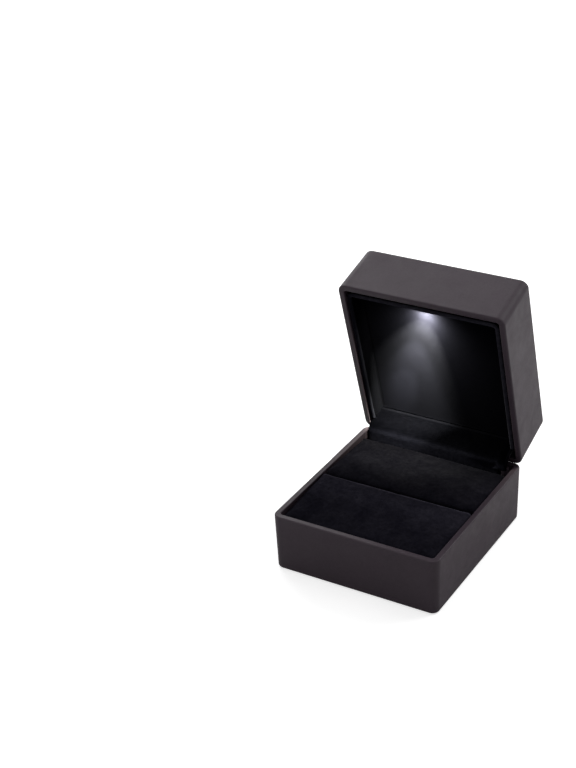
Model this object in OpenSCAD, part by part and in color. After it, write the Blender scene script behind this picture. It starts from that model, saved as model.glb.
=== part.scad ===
// Ring display box with a lit, hinged lid, in millimetres.
//
// The origin is the centre of the base's underside. X runs across the box, Y from its front to
// its hinge, and Z up. Pieces of the lid are drawn with the lid shut and then swung open about
// the hinge pin by in_open_lid(), because the box stands open.

/* [Overall] */
// Width of the box
box_w = 60; // [48:0.5:80]
// Depth of the box, front to back
box_d = 65.4; // [54:0.1:86]
// Height of the base, from the table to the parting line
base_h = 20.6; // [17:0.1:28]
// Height of the lid's upright walls
skirt_h = 20.2; // [17:0.1:28]
// Rise of the lid's sloping top above its walls
roof_rise = 9.4; // [6:0.1:14]
// Width of the flat panel on top of the lid
top_w = 29; // [20:0.5:40]
// Depth of the flat panel on top of the lid
top_d = 33; // [22:0.5:46]
// Radius of the panel's corners
top_r = 2.4; // [1.5:0.1:4]

/* [Shells] */
// Thickness of the moulded walls
wall = 2.1; // [1.8:0.1:2.6]
// Thickness of the base's floor
floor_t = 1.8; // [1.2:0.1:2.6]
// Radius of the upright corners
corner_r = 3; // [2.6:0.1:5]
// Radius of the corners inside the shells
inner_r = 1; // [0.6:0.1:1]
// Rounding of the two rims
rim_round = 0.6; // [0.5:0.05:0.7]
// Rounding of the base's lower edge
foot_round = 1.1; // [0.6:0.1:2]
// Inward lean of the walls of each shell, from its rim to its far end
draft = 0.4; // [0.1:0.05:0.8]
// Rounding where the lid's walls turn into its sloping top
brow_round = 0.8; // [0.5:0.1:2]
// Rounding where the sloping top turns into the flat panel
panel_round = 0.9; // [0.5:0.1:2]
// Hollow of the lid's sloping flanks
flank_hollow = 0.35; // [0:0.05:0.8]
// Gap between the rims when the box is shut
seam = 0.25; // [0.2:0.05:0.5]

/* [Hinge] */
// Angle at which the lid stands open
open_angle = 74.5; // [60:0.5:85]
// Gap left between the rims where the open lid rests on the base
stop_gap = 0.08; // [0.04:0.01:0.15]
// Radius of the hinge pin
pin_r = 0.6; // [0.5:0.05:0.8]
// Running clearance of the lid's knuckles on the pin
pin_clear = 0.05; // [0.02:0.01:0.1]
// Thickness of the hinge's sheet steel
leaf_t = 0.5; // [0.4:0.05:0.6]
// Width of the hinge
hinge_w = 32; // [24:1:40]
// Height of each leaf's leg along the rear wall
leg_h = 9; // [7:0.5:11]
// Gap between neighbouring knuckles
knuckle_gap = 0.3; // [0.2:0.05:0.5]
// Radius of the moulded pegs that hold the leaves
peg_r = 0.9; // [0.7:0.05:1.1]
// Distance between the two pegs of a leaf
peg_pitch = 22; // [18:1:26]

/* [Velvet and cushions] */
// Thickness of the velvet
velvet_t = 0.8; // [0.5:0.1:1.2]
// Thickness of the board under the cushions
board_t = 1.2; // [0.8:0.1:2]
// Gap between a cushion and the base's walls
cushion_clear = 0.3; // [0.2:0.05:0.6]
// Width of the ring slit between the cushions
slit_w = 0.8; // [0.6:0.1:2]
// Place of the ring slit, in front of the middle of the box
slit_ahead = 1.5; // [0:0.5:6]
// Height of the cushions' crown above the base's rim
crown_up = 0.3; // [0:0.1:1]
// Drop from the crown to the outer edges of the cushions
crown_drop = 1.5; // [0.5:0.1:2.5]
// Space behind the rear cushion, where the hinge cover runs down
cover_space = 3.8; // [3.6:0.1:5]

/* [Lid liner and light] */
// Wall thickness of the flocked liner in the lid
liner_t = 1.5; // [0.9:0.1:1.7]
// Gap between the liner and the lid's side walls
liner_gap = 0.5; // [0.3:0.1:0.8]
// Gap between the liner and the lid's front wall, where the light is
light_gap = 1.2; // [1.1:0.1:2]
// Depth of the liner's panel inside the lid's rim
panel_depth = 7; // [6:0.5:10]
// Radius of the light's window
window_r = 2; // [1.6:0.1:2.4]
// Diameter of the coin cell
cell_d = 20; // [16:1:24]
// Thickness of the coin cell
cell_t = 3.2; // [1.6:0.1:3.2]

/* [Switch] */
// Radius of the plunger that senses the open lid
plunger_r = 0.85; // [0.7:0.05:0.95]
// Travel of the plunger
plunger_travel = 1.2; // [0.8:0.1:1.6]
// How far the plunger stands out of the lid's rim when the lid is open
plunger_out = 1.5; // [1.3:0.1:1.7]

/* [Hidden] */

eps = 0.01;
corner_steps = 10;
shell_col = "#3a3537";
velvet_col = "#131318";
steel_col = "#b9bcc0";

// Planes and faces that several pieces share
lid_z = base_h + seam;
skirt_z = lid_z + skirt_h;
roof_z = skirt_z + roof_rise;
in_x = box_w / 2 - wall;
in_y = box_d / 2 - wall;
// The pin lies where the lid's rounded rim comes to rest on the base's at the open angle
pin_inset = rim_round
    + ((seam / 2 + rim_round) * cos(open_angle / 2) - rim_round - stop_gap / 2) / sin(open_angle / 2);
pin_y = box_d / 2 - pin_inset;
pin_z = base_h + seam / 2;
barrel_r = pin_r + pin_clear + leaf_t;
knuckles = 5;
knuckle_w = (hinge_w - (knuckles - 1) * knuckle_gap) / knuckles;
leaf_clear = 0.05;
leg_y = in_y - leaf_clear - leaf_t;
peg_head_r = peg_r + 0.5;
peg_head_t = 0.5;
peg_drop = leg_h * 0.6;

// The strip over the hinge runs at this distance from the pin's axis
spring_t = 0.25;
spring_r = pin_y - leg_y + 0.35;
spring_w = 9;
spring_leg = 7;
hook_clear = 0.1;
cover_r = pin_y - leg_y + peg_head_t + 0.75;

// Liner of the lid
liner_x = in_x - liner_gap;
liner_front = -in_y + light_gap;
liner_back = pin_y - cover_r + velvet_t / 2 + 0.75;
liner_rim_z = lid_z + 0.3;
panel_z = lid_z + panel_depth;
panel_top = panel_z + liner_t;

// Cushions and their board
cushion_x = in_x - cushion_clear;
cushion_front = -in_y + cushion_clear;
cushion_back = in_y - cover_space;
slit_y = -slit_ahead;
board_z = floor_t + board_t;
pad_round = 0.5;

// Switch, at the hinge end of the lid's right wall, and the post that works it
switch_x = in_x - 2.5;
switch_y = in_y - 2.1;
post_r = 1.3;
striker_gap = 0.15;
plunger_low = lid_z - plunger_out;
striker_z = plunger_low + plunger_travel - striker_gap;
house = 3.8;
house_h = 6;
house_z = panel_top + 0.05;
house_floor = 1;
house_lid = 0.8;
bore_r = 1.35;
flange_r = 1.25;
flange_t = 0.7;
corner_cut = 3.6;

// The velvet strip stops short of the post and the switch
cover_left = -liner_x + liner_t + 0.4;
cover_right = switch_x - post_r - 0.7;

// Circuit board over the liner, held by two screws, with the coin cell on it
board_gap = 3;
pcb_t = 1;
pcb_z = panel_top + board_gap;
pcb_top = pcb_z + pcb_t;
pcb_w = 34;
pcb_d = 36;
pcb_y = 3;
screw_x = 14;
screw_y = pcb_y - pcb_d / 2 + 3;
screw_r = 0.75;
cell_y = 7;
cup_floor = 1.6;
cup_wall = 1.35;
cup_clear = 0.25;
cup_r = cell_d / 2 + cup_clear + cup_wall;
cell_z = pcb_top + cup_floor + 0.05;
contact_t = 0.3;
contact_w = 3.6;
contact_y = cell_y - cell_d / 2 - 1;

// Light in the lid's front wall
window_z = lid_z + 3.7;
led_back = -in_y + 0.1;
led_board_t = 0.4;
chip_t = 0.5;
wire_r = 0.3;
wire_z = pcb_top + wire_r + 0.02;

// ---------- Helpers ----------

function lerp(a, b, t) = a + (b - a) * t;

// A point of the curve that leaves p towards q and arrives at r
function bend(p, q, r, t) = (1 - t) * (1 - t) * p + 2 * t * (1 - t) * q + t * t * r;

// Outline of a rounded rectangle at height z, counter-clockwise, as 3-D points
function ring(w, d, r, z, n) = [
    for (q = [0:3], k = [0:n])
        let (a = 90 * q + 90 * k / n,
             cx = (q == 0 || q == 3 ? 1 : -1) * (w / 2 - r),
             cy = (q < 2 ? 1 : -1) * (d / 2 - r))
        [cx + r * cos(a), cy + r * sin(a), z]
];

// Solid through a stack of rounded rectangles, each [width, depth, radius, height]
module loft(sections, n = corner_steps) {
    m = 4 * (n + 1);
    last = len(sections) - 1;
    points = [for (s = sections) each ring(s[0], s[1], max(s[2], 0.2), s[3], n)];
    sides = [
        for (i = [0:last - 1], j = [0:m - 1])
            let (a = i * m + j, b = i * m + (j + 1) % m)
            each [[a, a + m, b + m], [a, b + m, b]]
    ];
    bottom = [for (j = [0:m - 1]) j];
    top = [for (j = [m - 1:-1:0]) last * m + j];
    polyhedron(points, concat([bottom], sides, [top]));
}

// Flat rounded rectangle
module plate(w, d, r) {
    square([w - 2 * r, d], center = true);
    square([w, d - 2 * r], center = true);
    for (x = [-1, 1], y = [-1, 1])
        translate([x * (w / 2 - r), y * (d / 2 - r)]) circle(r = r, $fn = 32);
}

// Block with its low corner at a and its high corner at b
module block(a, b) {
    translate(a) cube(b - a);
}

// Pieces of the lid, swung from shut to open about the pin
module in_open_lid() {
    translate([0, pin_y, pin_z]) rotate([-open_angle, 0, 0]) translate([0, -pin_y, -pin_z])
        children();
}

// The lower part of the hinge mirrored about the parting plane, for the lid
module mirror_at_parting() {
    translate([0, 0, 2 * pin_z]) mirror([0, 0, 1]) children();
}

// Rod along X
module rod_x(r, length, fn = 32) {
    rotate([0, 90, 0]) cylinder(r = r, h = length, center = true, $fn = fn);
}

// ---------- Base ----------

// Sections of the base's outside, from its rounded foot to its rounded rim
function base_sections() = concat(
    [for (a = [0:18:90])
        let (in = draft + foot_round * (1 - sin(a)))
        [box_w - 2 * in, box_d - 2 * in, corner_r - in, foot_round * (1 - cos(a))]],
    [for (a = [0:15:90])
        let (in = rim_round * (1 - cos(a)))
        [box_w - 2 * in, box_d - 2 * in, corner_r - in, base_h - rim_round * (1 - sin(a))]]
);

// Opening in the rear wall for the barrel of the hinge
module barrel_notch() {
    room = barrel_r + 0.3;
    block([-hinge_w / 2 - 0.5, leg_y - 0.2, pin_z - room], [hinge_w / 2 + 0.5, box_d, pin_z + room]);
}

// Two pegs that pass through a leaf and are spread over it
module leaf_pegs() {
    for (x = [-1, 1]) translate([x * peg_pitch / 2, 0, pin_z - peg_drop]) rotate([90, 0, 0]) {
        translate([0, 0, -in_y - 1]) cylinder(r = peg_r, h = 1 + in_y - leg_y + peg_head_t, $fn = 32);
        translate([0, 0, -leg_y + leaf_clear])
            cylinder(r1 = peg_head_r, r2 = peg_r, h = peg_head_t, $fn = 32);
    }
}

module base_shell() {
    rib = 0.6;
    color(shell_col) {
        difference() {
            loft(base_sections());
            translate([0, 0, floor_t])
                linear_extrude(base_h) plate(2 * in_x, 2 * in_y, inner_r);
            barrel_notch();
        }
        // Post that holds the switch's plunger up while the box is shut
        translate([switch_x, switch_y, floor_t - eps])
            cylinder(r = post_r, h = striker_z - floor_t, $fn = 32);
        block([switch_x, switch_y - rib, floor_t - eps], [in_x + eps, switch_y + rib, striker_z - 1]);
        block([switch_x - rib, switch_y, floor_t - eps], [switch_x + rib, in_y + eps, striker_z - 1]);
        leaf_pegs();
    }
}

// ---------- Cushions ----------

// Side outline of a cushion from y0 to y1: crowned at the slit, rolled at its edges
module cushion_outline(y0, y1, z0, high, low_side, round_r) {
    steps = 10;
    sag = high - crown_drop;
    hull() {
        translate([y0, z0]) square([y1 - y0, 1]);
        for (s = [0:steps]) {
            t = s / steps;
            y = lerp(y0 + round_r, y1 - round_r, t);
            u = low_side < 0 ? 1 - t : t;
            translate([y, lerp(high, sag, u * u) - round_r]) circle(r = round_r, $fn = 24);
        }
    }
}

// Solid cushion, drawn in towards its middle by inset on every face but the lower one
module cushion(y0, y1, low_side, inset, round_r) {
    high = base_h + crown_up - inset;
    rotate([90, 0, 90])
        linear_extrude(2 * (cushion_x - inset), center = true)
            cushion_outline(y0 + inset, y1 - inset, board_z, high, low_side, round_r);
}

module foam_front() {
    color("#e7e4dc")
        cushion(cushion_front, slit_y - slit_w / 2, -1, velvet_t, pad_round);
}

module foam_rear() {
    color("#e7e4dc")
        cushion(slit_y + slit_w / 2, cushion_back, 1, velvet_t, pad_round);
}

// Velvet wrapped over a block of foam, open underneath
module velvet_wrap(y0, y1, low_side) {
    color(velvet_col) difference() {
        cushion(y0, y1, low_side, 0, pad_round + velvet_t);
        translate([0, 0, -eps]) cushion(y0, y1, low_side, velvet_t - 2 * eps, pad_round);
    }
}

module velvet_front() {
    velvet_wrap(cushion_front, slit_y - slit_w / 2, -1);
}

module velvet_rear() {
    velvet_wrap(slit_y + slit_w / 2, cushion_back, 1);
}

// Board that both cushions are glued to, with a groove under the ring slit
module cushion_board() {
    mid_y = (cushion_front + cushion_back) / 2;
    color("#6d5a45") difference() {
        translate([0, mid_y, floor_t])
            linear_extrude(board_t - eps)
                plate(2 * cushion_x, cushion_back - cushion_front, inner_r);
        block([6 - cushion_x, slit_y - 1, floor_t + board_t / 2],
              [cushion_x - 6, slit_y + 1, board_z + 1]);
    }
}

// ---------- Lid ----------

// Sections of the lid's top, from where the walls end to the flat panel. in_w is how far the
// surface lies inside the outer one, and lean how far its walls have leaned in below it.
function roof_sections(in_w, lean, steps) =
    let (
        run = (box_w - top_w) / 2 - lean,
        slope = atan2(roof_rise, run),
        w0 = box_w - 2 * lean - 2 * in_w,
        d0 = box_d - 2 * lean - 2 * in_w,
        w1 = top_w - 2 * in_w * tan(slope / 2),
        d1 = top_d - 2 * in_w * tan(slope / 2),
        z0 = skirt_z - in_w * (1 - sin(slope)) / cos(slope),
        z1 = roof_z - in_w,
        r0 = in_w > 0 ? inner_r : corner_r - lean,
        r1 = in_w > 0 ? inner_r : top_r,
        sag = in_w > 0 ? 0 : flank_hollow,
        low = brow_round / run,
        high = 1 - panel_round / run,
        flank = 4
    )
    concat(
        [for (k = [0:steps])
            let (s = k / steps, t = bend(0, 0, low, s))
            [lerp(w0, w1, t), lerp(d0, d1, t), lerp(r0, r1, t),
             bend(z0 - brow_round, z0, lerp(z0, z1, low), s)]],
        [for (k = [1:flank])
            let (u = k / (flank + 1), t = lerp(low, high, u))
            [lerp(w0, w1, t), lerp(d0, d1, t), lerp(r0, r1, t),
             lerp(z0, z1, t) - 4 * sag * u * (1 - u)]],
        [for (k = [0:steps])
            let (s = k / steps, t = bend(high, 1, 2 - high, s))
            [lerp(w0, w1, t), lerp(d0, d1, t), lerp(r0, r1, t),
             bend(lerp(z0, z1, high), z1, z1, s)]]
    );

// Sections of the lid's outside, from its rounded rim to its flat top
function lid_sections() = concat(
    [for (a = [0:15:90])
        let (in = rim_round * (1 - sin(a)))
        [box_w - 2 * in, box_d - 2 * in, corner_r - in, lid_z + rim_round * (1 - cos(a))]],
    roof_sections(0, draft, 6)
);

// Sections of the lid's hollow
function lid_hollow_sections() = concat(
    [[2 * in_x, 2 * in_y, inner_r, lid_z - 1]],
    roof_sections(wall, 0, 3)
);

module lid_shell() {
    color(shell_col) in_open_lid() {
        difference() {
            loft(lid_sections());
            loft(lid_hollow_sections(), 4);
            barrel_notch();
        }
        mirror_at_parting() leaf_pegs();
    }
}

// Flocked tray inside the lid, open downwards, with the light's window in its front wall. The
// velvet strip over the hinge takes the place of its rear wall.
module lid_liner() {
    mid_y = (liner_front + liner_back) / 2;
    long_y = liner_back - liner_front;
    outer_r = 1.6;
    boss_r = 1.9;
    color(velvet_col) in_open_lid() {
        difference() {
            translate([0, mid_y, liner_rim_z])
                linear_extrude(panel_top - liner_rim_z) plate(2 * liner_x, long_y, outer_r);
            translate([0, mid_y, liner_rim_z - 1])
                linear_extrude(panel_z - liner_rim_z + 1)
                    plate(2 * (liner_x - liner_t), long_y - 2 * liner_t, outer_r / 2);
            block([cover_left - 0.3, liner_back - 2 * liner_t, liner_rim_z - 1],
                  [liner_x - corner_cut + eps, liner_back + 1, panel_z]);
            // Corner left clear for the switch
            block([liner_x - corner_cut, liner_back - corner_cut, liner_rim_z - 1],
                  [liner_x + 1, liner_back + 1, panel_top + 1]);
            translate([0, 0, window_z]) rotate([90, 0, 0])
                cylinder(r = window_r, h = box_d, $fn = 48);
        }
        for (x = [-1, 1]) translate([x * screw_x, screw_y, panel_top - eps]) difference() {
            cylinder(r = boss_r, h = board_gap + eps, $fn = 32);
            translate([0, 0, 0.4]) cylinder(r = screw_r, h = board_gap, $fn = 32);
        }
    }
}

// Velvet strip that covers the hinge, from the panel of the lid's liner down to the base's floor
module hinge_cover() {
    color(velvet_col) translate([(cover_left + cover_right) / 2, 0, 0])
        bent_strip(cover_r, velvet_t, cover_right - cover_left,
                   pin_z - floor_t - 0.02, panel_z - pin_z - 0.02);
}

// Strip of thickness t that runs up the rear wall, round the pin at radius r and into the lid
module bent_strip(r, t, w, down, up) {
    lap = 0.03;
    far = 3 * r;
    translate([0, pin_y, pin_z]) rotate([90, 0, 90]) linear_extrude(w, center = true) {
        translate([-r - t / 2, -down]) square([t, down + lap]);
        rotate(-open_angle) translate([-r - t / 2, -lap]) square([t, up + lap]);
        intersection() {
            difference() {
                circle(r = r + t / 2, $fn = 96);
                circle(r = r - t / 2, $fn = 96);
            }
            rotate(-open_angle) polygon([[0, 0], [-far, 0], [-far, -far * tan(open_angle / 2)],
                                         [-far * cos(open_angle), -far * sin(open_angle)]]);
        }
    }
}

// ---------- Hinge ----------

// Middle of a knuckle along the pin, counted from 0 at the left end
function knuckle_x(k) = (knuckle_w - hinge_w) / 2 + k * (knuckle_w + knuckle_gap);

// One leaf with the lid shut: own holds the knuckles that belong to it, 0 at the left end
module leaf(own, bore_r) {
    start = -hinge_w / 2;
    difference() {
        union() {
            // Leg on the rear wall
            block([start, leg_y, pin_z - barrel_r - leg_h],
                  [-start, leg_y + leaf_t, pin_z - barrel_r + leaf_t]);
            // Web from the leg to the barrel
            block([start, leg_y, pin_z - barrel_r], [-start, pin_y, pin_z - barrel_r + leaf_t]);
            for (k = own) translate([knuckle_x(k), pin_y, pin_z]) rod_x(barrel_r, knuckle_w);
        }
        translate([0, pin_y, pin_z]) rod_x(bore_r, hinge_w + 2);
        // Room for the other leaf's knuckles
        for (k = [0:knuckles - 1]) if (len(search(k, own)) == 0)
            translate([knuckle_x(k), pin_y, pin_z])
                rod_x(barrel_r + 0.3, knuckle_w + 2 * knuckle_gap);
        for (x = [-1, 1]) translate([x * peg_pitch / 2, 0, pin_z - peg_drop])
            rotate([90, 0, 0]) cylinder(r = peg_r + 0.05, h = 2 * box_d, center = true, $fn = 32);
        // Window for the hooked end of the spring
        block([-spring_w / 2 - hook_clear, leg_y - 1, pin_z - spring_leg - hook_clear],
              [spring_w / 2 + hook_clear, in_y, pin_z - spring_leg + spring_t + hook_clear]);
    }
}

module hinge_leaf_base() {
    color(steel_col) leaf([0, 2, 4], pin_r + 0.01);
}

module hinge_leaf_lid() {
    color(steel_col) in_open_lid() mirror_at_parting() leaf([1, 3], pin_r + pin_clear);
}

module hinge_pin() {
    color(steel_col) translate([0, pin_y, pin_z]) {
        rod_x(pin_r, hinge_w + 0.2);
        for (x = [-1, 1]) translate([x * (hinge_w / 2 + 0.2), 0, 0]) rod_x(pin_r + 0.2, 0.3);
    }
}

// Flat spring that pulls the two leaves together, so that the lid snaps open and shut. Its
// ends are hooked through the leaves.
module snap_spring() {
    color("#8d9095") {
        bent_strip(spring_r, spring_t, spring_w, spring_leg, spring_leg);
        spring_hook();
        in_open_lid() mirror_at_parting() spring_hook();
    }
}

module spring_hook() {
    block([-spring_w / 2, pin_y - spring_r, pin_z - spring_leg],
          [spring_w / 2, leg_y + leaf_t, pin_z - spring_leg + spring_t]);
}

// ---------- Light ----------

module circuit_board() {
    color("#1f5a38") in_open_lid() difference() {
        translate([0, pcb_y, pcb_z]) linear_extrude(pcb_t) plate(pcb_w, pcb_d, 1.5);
        for (x = [-1, 1]) translate([x * screw_x, screw_y, pcb_z - 1])
            cylinder(r = screw_r + 0.25, h = pcb_t + 2, $fn = 32);
    }
}

module board_screws() {
    shank = pcb_t + board_gap - 0.8;
    color(steel_col) in_open_lid()
        for (x = [-1, 1]) translate([x * screw_x, screw_y, pcb_top]) {
            cylinder(r1 = 1.5, r2 = 1.1, h = 0.9, $fn = 32);
            translate([0, 0, eps - shank]) cylinder(r = screw_r - 0.05, h = shank, $fn = 32);
        }
}

module battery_holder() {
    slot = contact_w / 2 + 0.4;
    color("#2a2a2d") in_open_lid() translate([0, cell_y, pcb_top]) difference() {
        cylinder(r = cup_r, h = cup_floor + cell_t, $fn = 96);
        translate([0, 0, cup_floor]) cylinder(r = cell_d / 2 + cup_clear, h = cell_t + 1, $fn = 96);
        // Groove and way down for the lower contact
        block([-slot, -6.3, cup_floor - 0.6], [slot, 3, cup_floor + 1]);
        block([-slot, -6.3, -1], [slot, -5.3, cup_floor]);
        // Way in for a fingernail
        block([-5, cup_r - 5, cup_floor + 0.6], [5, cup_r + 1, cup_floor + cell_t + 1]);
        // Notch for the upper contact
        block([-slot, -cup_r - 1, -1], [slot, -cell_d / 2 + 0.6, cup_floor + cell_t + 1]);
    }
}

module coin_cell() {
    rim = 1.2;
    step = 0.35;
    color("#c8ccd0") in_open_lid() translate([0, cell_y, cell_z]) {
        cylinder(r = cell_d / 2 - rim, h = cell_t, $fn = 96);
        translate([0, 0, step]) cylinder(r = cell_d / 2, h = cell_t - step, $fn = 96);
    }
}

// Spring strip that stands on the board and reaches over the cell
module contact_top() {
    over = cell_z + cell_t + 0.05;
    half = contact_w / 2;
    foot = 1.9;
    color("#cfb36a") in_open_lid() {
        block([-half, contact_y - contact_t, over], [half, cell_y, over + contact_t]);
        block([-half, contact_y - contact_t, pcb_top], [half, contact_y, over + eps]);
        block([-half, contact_y - contact_t - foot, pcb_top],
              [half, contact_y - contact_t + eps, pcb_top + contact_t]);
    }
}

// Strip under the cell, with a leg down to the board
module contact_bottom() {
    under = pcb_top + cup_floor - 0.5;
    half = contact_w / 2;
    color("#cfb36a") in_open_lid() {
        block([-half, cell_y - 6, under], [half, cell_y + 2.6, under + contact_t]);
        block([-half, cell_y - 6, pcb_top], [half, cell_y - 6 + contact_t, under + eps]);
    }
}

module led_board() {
    half_h = 2.2;
    color("#1f5a38") in_open_lid()
        block([-4.5, led_back, window_z - half_h], [4.5, led_back + led_board_t, window_z + half_h]);
}

module led_chip() {
    half = 1.2;
    chip_y = led_back + led_board_t + eps;
    color("#f4f0d8") in_open_lid()
        block([-half, chip_y, window_z - half], [half, chip_y + chip_t, window_z + half]);
}

// Clear lens that fills the liner's window
module led_lens() {
    inside = liner_front + liner_t;
    lens_r = window_r - 0.05;
    dome_r = 3;
    color("#e8eef4", 0.6) in_open_lid() translate([0, 0, window_z]) rotate([-90, 0, 0]) {
        translate([0, 0, liner_front + 0.02]) cylinder(r = lens_r, h = liner_t, $fn = 48);
        intersection() {
            translate([0, 0, inside]) cylinder(r = lens_r, h = dome_r, $fn = 48);
            translate([0, 0, inside - sqrt(dome_r * dome_r - lens_r * lens_r)])
                sphere(r = dome_r, $fn = 64);
        }
    }
}

// Insulated wire that runs a length along +Z, turns towards +Y and runs on
module wire(first, then) {
    turn_r = 1.5;
    cylinder(r = wire_r, h = first - turn_r, $fn = 24);
    translate([0, turn_r, first - turn_r]) rotate([90, 0, -90])
        rotate_extrude(angle = 90, $fn = 48) translate([turn_r, 0]) circle(r = wire_r, $fn = 24);
    translate([0, turn_r, first]) rotate([-90, 0, 0]) cylinder(r = wire_r, h = then - turn_r, $fn = 24);
}

module led_wires() {
    from_y = led_back + led_board_t + wire_r + 0.02;
    from_z = window_z + 1;
    color("#b03a34") in_open_lid() for (x = [-1, 1])
        translate([3.6 * x, from_y, from_z]) wire(wire_z - from_z, screw_y - from_y);
}

// ---------- Switch ----------

module switch_housing() {
    color("#232326") in_open_lid() translate([switch_x, switch_y, house_z]) difference() {
        block([-house / 2, -house / 2, 0], [house / 2, house / 2, house_h]);
        translate([0, 0, -1]) cylinder(r = plunger_r + 0.08, h = house_floor + 2, $fn = 32);
        translate([0, 0, house_floor])
            cylinder(r = bore_r, h = house_h - house_floor - house_lid, $fn = 32);
    }
}

// Plunger, with a flange that keeps it in the housing
module switch_plunger() {
    tip = 0.4;
    flange_z = house_z + house_floor + 0.05;
    color("#232326") in_open_lid() translate([switch_x, switch_y, 0]) {
        translate([0, 0, plunger_low]) cylinder(r1 = plunger_r - tip, r2 = plunger_r, h = tip, $fn = 32);
        translate([0, 0, plunger_low + tip])
            cylinder(r = plunger_r, h = flange_z + eps - plunger_low - tip, $fn = 32);
        translate([0, 0, flange_z]) cylinder(r = flange_r, h = flange_t, $fn = 32);
    }
}

// Coil of square wire: a wide arc, twisted as it rises, with half a pitch of wire to each turn
module switch_spring() {
    turns = 4;
    coil_r = 0.9;
    thick = 0.32;
    low = house_z + house_floor + flange_t + 0.15;
    high = house_z + house_h - house_lid - 0.1;
    arc = 360 * turns * thick / (high - low);
    color(steel_col) in_open_lid() translate([switch_x, switch_y, low])
        linear_extrude(high - low, twist = -360 * turns, slices = 12 * turns)
            polygon(concat(
                [for (k = [0:6]) (coil_r + thick / 2) * [cos(arc * k / 6), sin(arc * k / 6)]],
                [for (k = [6:-1:0]) (coil_r - thick / 2) * [cos(arc * k / 6), sin(arc * k / 6)]]
            ));
}

module switch_wires() {
    pitch = 1.4;
    front_y = switch_y - house / 2 - 0.02;
    color("#2f2f35") in_open_lid() for (k = [0, 1]) {
        from_x = switch_x + pitch / 2 - k * pitch;
        translate([from_x, front_y, wire_z]) rotate([90, 0, 0]) rotate([0, 0, 90])
            wire(8 - 1.4 * k, from_x - pcb_w / 2 + 2);
    }
}

// ---------- Nodes ----------

base_shell();
cushion_board();
foam_front();
foam_rear();
velvet_front();
velvet_rear();
lid_shell();
lid_liner();
hinge_cover();
hinge_leaf_base();
hinge_leaf_lid();
hinge_pin();
snap_spring();
circuit_board();
board_screws();
battery_holder();
coin_cell();
contact_top();
contact_bottom();
led_board();
led_chip();
led_lens();
led_wires();
switch_housing();
switch_plunger();
switch_spring();
switch_wires();
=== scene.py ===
import math
from math import cos, radians, sin

import bmesh
import bpy
import numpy as np
from mathutils import Matrix, Vector, noise


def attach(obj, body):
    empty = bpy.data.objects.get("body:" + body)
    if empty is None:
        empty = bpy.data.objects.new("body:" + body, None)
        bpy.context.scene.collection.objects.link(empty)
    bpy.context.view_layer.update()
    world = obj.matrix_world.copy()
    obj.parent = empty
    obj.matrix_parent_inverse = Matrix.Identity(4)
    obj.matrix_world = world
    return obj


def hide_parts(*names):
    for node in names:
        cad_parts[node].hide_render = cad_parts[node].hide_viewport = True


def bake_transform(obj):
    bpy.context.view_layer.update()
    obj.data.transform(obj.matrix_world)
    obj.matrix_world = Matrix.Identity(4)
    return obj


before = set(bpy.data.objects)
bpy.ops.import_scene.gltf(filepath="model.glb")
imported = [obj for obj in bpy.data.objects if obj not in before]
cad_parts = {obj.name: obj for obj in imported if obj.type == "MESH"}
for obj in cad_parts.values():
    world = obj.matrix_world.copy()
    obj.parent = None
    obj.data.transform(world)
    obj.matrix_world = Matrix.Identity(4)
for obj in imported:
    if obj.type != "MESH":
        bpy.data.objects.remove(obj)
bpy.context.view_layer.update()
scene = bpy.context.scene
MM = 0.001

# ---------------------------------------------------------------- sizes in mm, as in the CAD
BOX_W, BOX_D, BASE_H, SKIRT_H, ROOF_RISE = 60.0, 65.4, 20.6, 20.2, 9.4
TOP_W, TOP_D, TOP_R = 29.0, 33.0, 2.4
WALL, FLOOR_T, CORNER_R, INNER_R = 2.1, 1.8, 3.0, 1.0
RIM_ROUND, FOOT_ROUND, DRAFT, HOLLOW, SEAM = 0.52, 1.1, 0.4, 0.35, 0.25
BROW, PANEL_ROUND = 0.8, 0.9
OPEN = 74.5
LID_Z = BASE_H + SEAM
SKIRT_Z = LID_Z + SKIRT_H
ROOF_Z = SKIRT_Z + ROOF_RISE
IN_X, IN_Y = BOX_W / 2 - WALL, BOX_D / 2 - WALL
PIN_INSET = 0.4961
PIN_Y, PIN_Z = BOX_D / 2 - PIN_INSET, BASE_H + SEAM / 2
BARREL_R, HINGE_W = 1.15, 32.0
LEG_Y = IN_Y - 0.55
COVER_R = PIN_Y - LEG_Y + 1.25
COVER_T = 0.8
LINER_X, LINER_FRONT, LINER_BACK = IN_X - 0.5, -IN_Y + 1.2, PIN_Y - COVER_R + COVER_T / 2 + 0.75
LINER_T, LINER_RIM_Z, PANEL_Z = 1.5, LID_Z + 0.3, LID_Z + 7.0
PANEL_TOP = PANEL_Z + LINER_T
WINDOW_R, WINDOW_Z = 2.0, LID_Z + 3.7
SWITCH_X, SWITCH_Y, POST_R = IN_X - 2.5, IN_Y - 2.1, 1.3
POST_Z = LID_Z - 1.5 + 1.2 - 0.15
COVER_LEFT, COVER_RIGHT = -LINER_X + 0.35, SWITCH_X - POST_R - 0.7
CUSHION_X, CUSHION_FRONT, CUSHION_BACK = IN_X - 0.3, -IN_Y + 0.3, IN_Y - 3.8
SLIT_Y, SLIT_W, BOARD_Z = -1.5, 0.8, 3.0
PEG_X, PEG_RISE = 11, 5.4

# ---------------------------------------------------------------- sizes in mm of what only these pieces show
RIM_EDGE = 0.3  # rounding of the rims' inner edge
PANEL_FILLET = 0.7  # where the liner's walls meet its panel
SWITCH_ROOM = 3.6  # the liner's corner that is left out for the switch
CUSHION_REACH = 0.22  # how far the velvet goes past the CAD cushion's sides and front
SLIT_LIP = 0.15  # how far each cushion leans into the ring slit
COVER_FLARE, COVER_STEP = 3.4, 1.85  # the strip's right end, beside and in front of the switch post
LED_SIZE = 0.3  # radius that the diode's light comes from

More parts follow.
